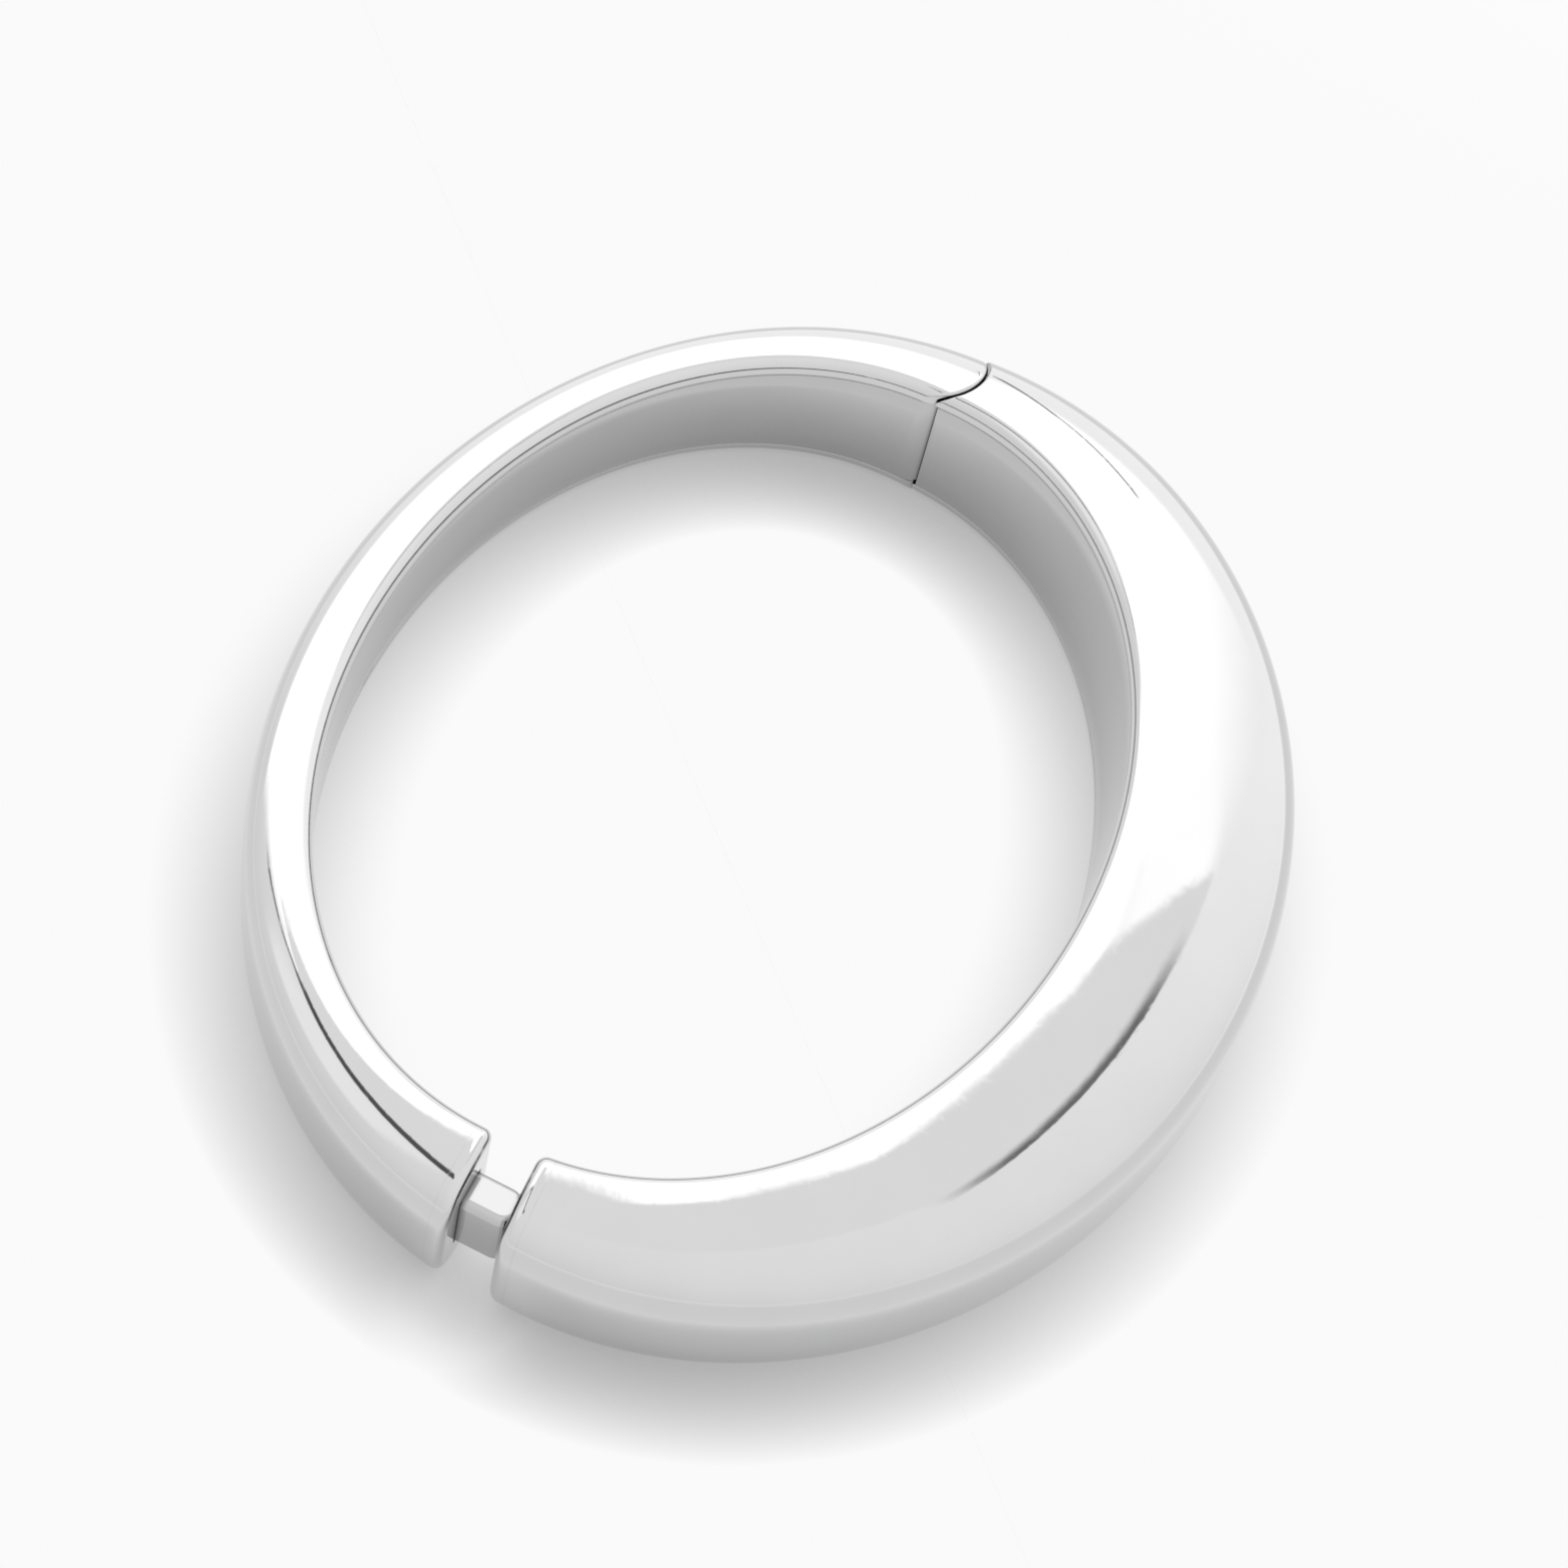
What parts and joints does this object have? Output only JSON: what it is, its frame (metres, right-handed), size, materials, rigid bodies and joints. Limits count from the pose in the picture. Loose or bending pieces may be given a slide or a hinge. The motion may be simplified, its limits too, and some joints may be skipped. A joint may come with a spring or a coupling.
{
  "type": "bangle bracelet",
  "caption": "Hollow oval bangle with a domed tapering band, a hidden pin hinge and a tongue clasp that pushes into a socket.",
  "frame": {"origin": "centre of the wrist oval in the plane of the lower rim, on which the bangle lies", "axes": "+Z along the wrist, +X to the hinge, -X to the clasp, -Y to the broad front arm"},
  "size_m": [0.072, 0.0645, 0.0147],
  "materials": {
    "polished_silver": "bright silver plate, mirror polished",
    "plated_hinge": "silver plate, less polished inside the hinge",
    "steel_pin": "drawn steel wire",
    "magnet_nickel": "nickel plated magnet"
  },
  "bodies": {
    "front_arm": {"front_shell": "polished_silver", "front_lining": "polished_silver", "front_clasp_cap": "polished_silver", "clasp_socket": "plated_hinge", "socket_magnet": "magnet_nickel", "front_cup_block": "plated_hinge", "middle_knuckle": "plated_hinge"},
    "rear_arm": {"rear_shell": "polished_silver", "rear_lining": "polished_silver", "rear_clasp_cap": "polished_silver", "clasp_tongue": "polished_silver", "tongue_magnet": "magnet_nickel", "rear_bulkhead": "plated_hinge", "upper_knuckle": "plated_hinge", "lower_knuckle": "plated_hinge", "hinge_pin": "steel_pin"}
  },
  "joints": [
    {"name": "bangle_hinge", "type": "hinge", "parent": "front_arm", "child": "rear_arm", "pos_m": [0.0332, 0, 0], "axis": [0, 0, -1], "range_deg": [-2.6, 62]}
  ]
}
